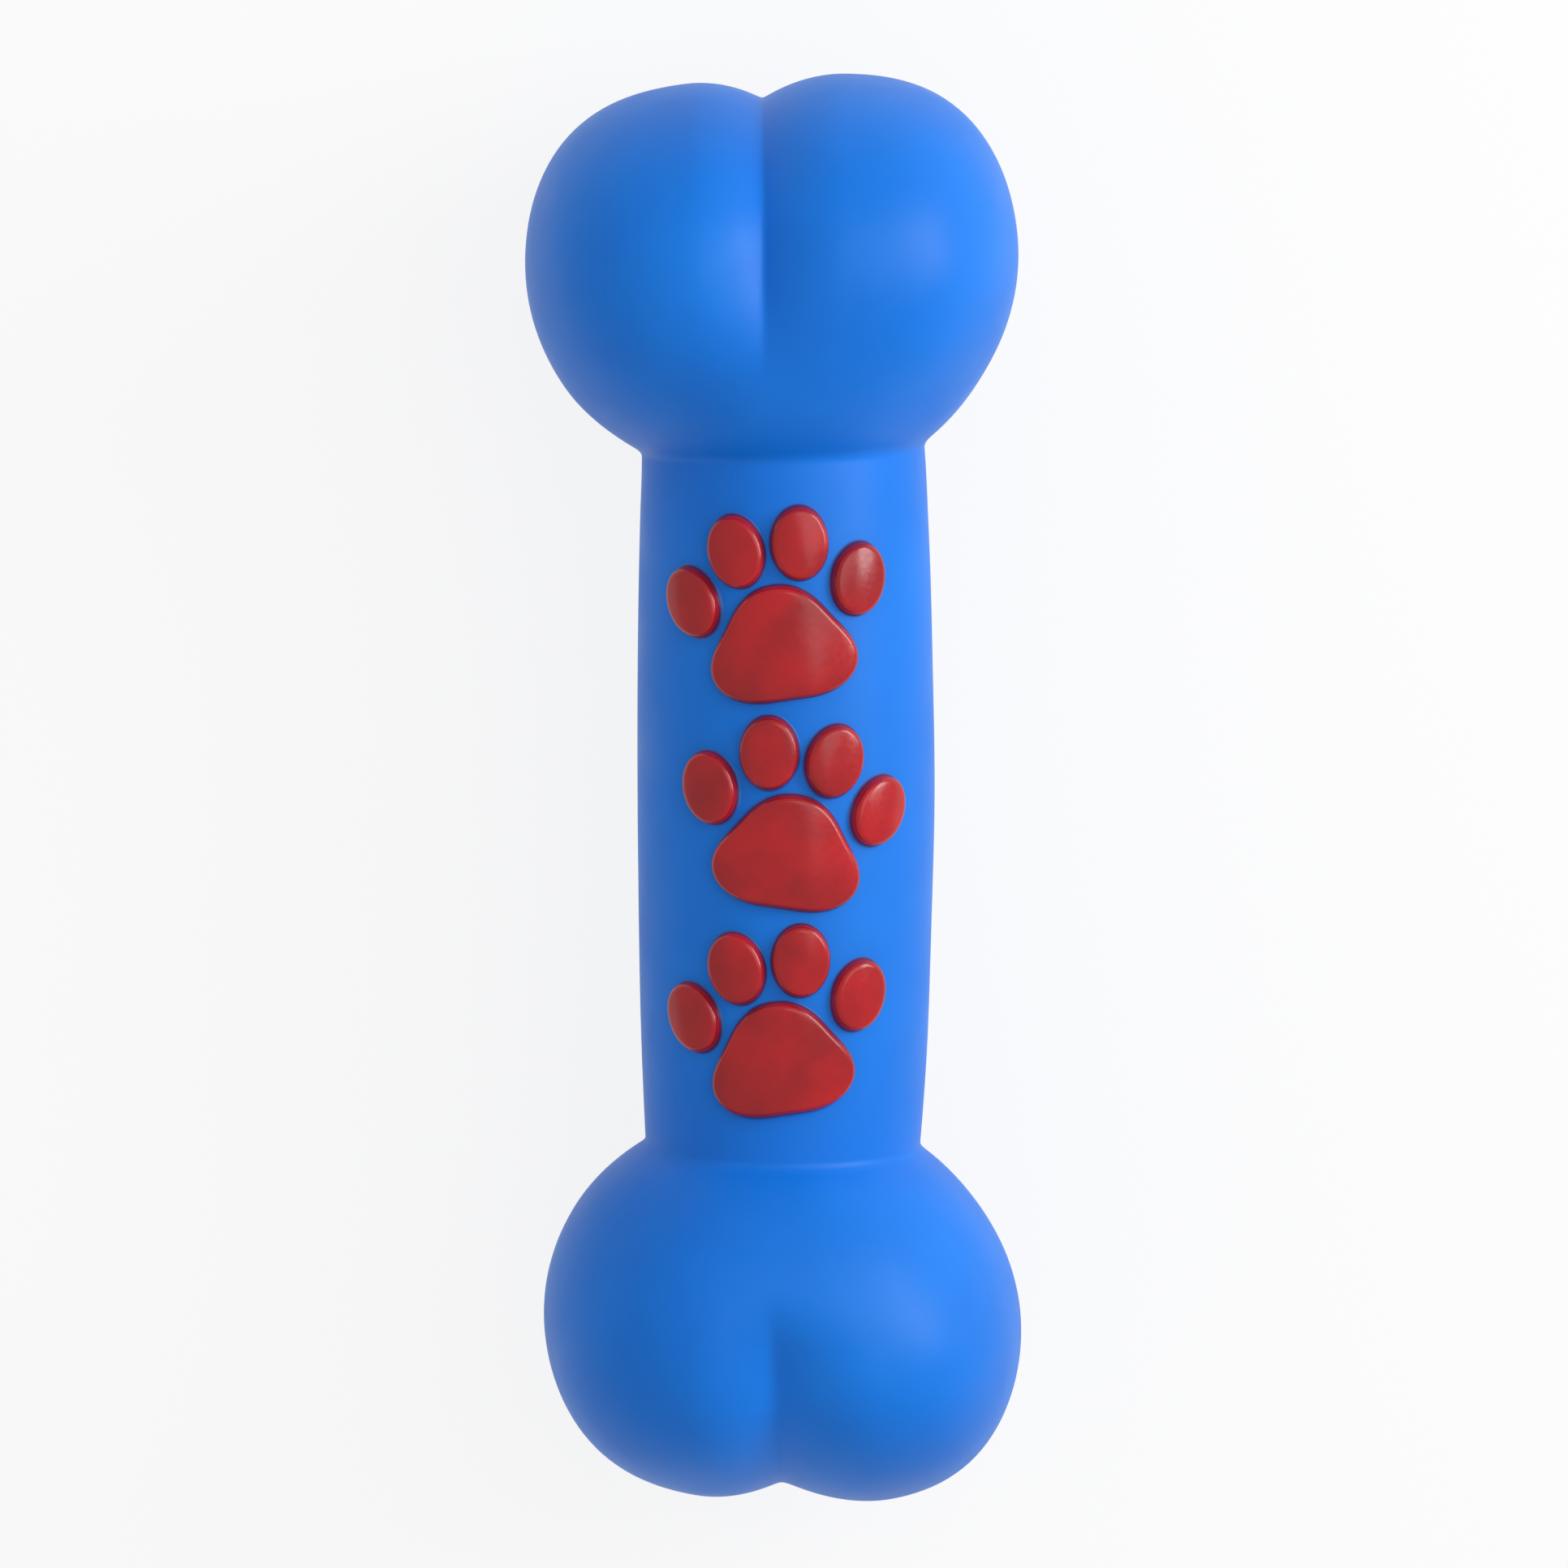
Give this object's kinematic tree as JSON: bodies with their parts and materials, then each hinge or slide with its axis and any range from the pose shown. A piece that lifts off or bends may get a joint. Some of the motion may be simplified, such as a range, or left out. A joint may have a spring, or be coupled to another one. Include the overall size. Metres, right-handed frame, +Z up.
{
  "type": "squeaky dog bone",
  "caption": "Hollow dog bone of soft blue vinyl with lobed knobs, raised red paw prints along its shaft and a press-in reed squeaker in a flat seat underneath.",
  "frame": {"origin": "on the floor, under the middle of the bone's box as it lies on its back", "axes": "+Y along the bone towards its far knob, +X across the lobes, +Z up out of the printed side of the shaft"},
  "size_m": [0.0616, 0.1782, 0.0582],
  "materials": {
    "vinyl": "satin",
    "print_paint": "gloss",
    "squeaker_plastic": "satin",
    "reed_film": "gloss"
  },
  "bodies": {
    "bone": {"bone_skin": "vinyl", "squeaker_case": "squeaker_plastic", "reed_bed": "squeaker_plastic", "reed_wedge": "squeaker_plastic"},
    "pressed_wall": {"print_1_pad": "print_paint", "print_1_toe_outer_left": "print_paint", "print_1_toe_inner_left": "print_paint", "print_1_toe_inner_right": "print_paint", "print_1_toe_outer_right": "print_paint", "print_2_pad": "print_paint", "print_2_toe_outer_left": "print_paint", "print_2_toe_inner_left": "print_paint", "print_2_toe_inner_right": "print_paint", "print_2_toe_outer_right": "print_paint", "print_3_pad": "print_paint", "print_3_toe_outer_left": "print_paint", "print_3_toe_inner_left": "print_paint", "print_3_toe_inner_right": "print_paint", "print_3_toe_outer_right": "print_paint"},
    "reed": {"reed_tongue": "reed_film"}
  },
  "joints": [
    {"name": "squeeze", "type": "slide", "parent": "bone", "child": "pressed_wall", "axis": [0, 0, -1], "range_m": [0, 0.008], "stiffness_N_per_m": 1500, "deforming": ["bone_skin"]},
    {"name": "reed_flex", "type": "hinge", "parent": "bone", "child": "reed", "pos_m": [0.00128, -0.00026, 0.01732], "axis": [1, 0, 0], "range_deg": [-3, 3], "stiffness_Nm_per_rad": 0.002}
  ]
}
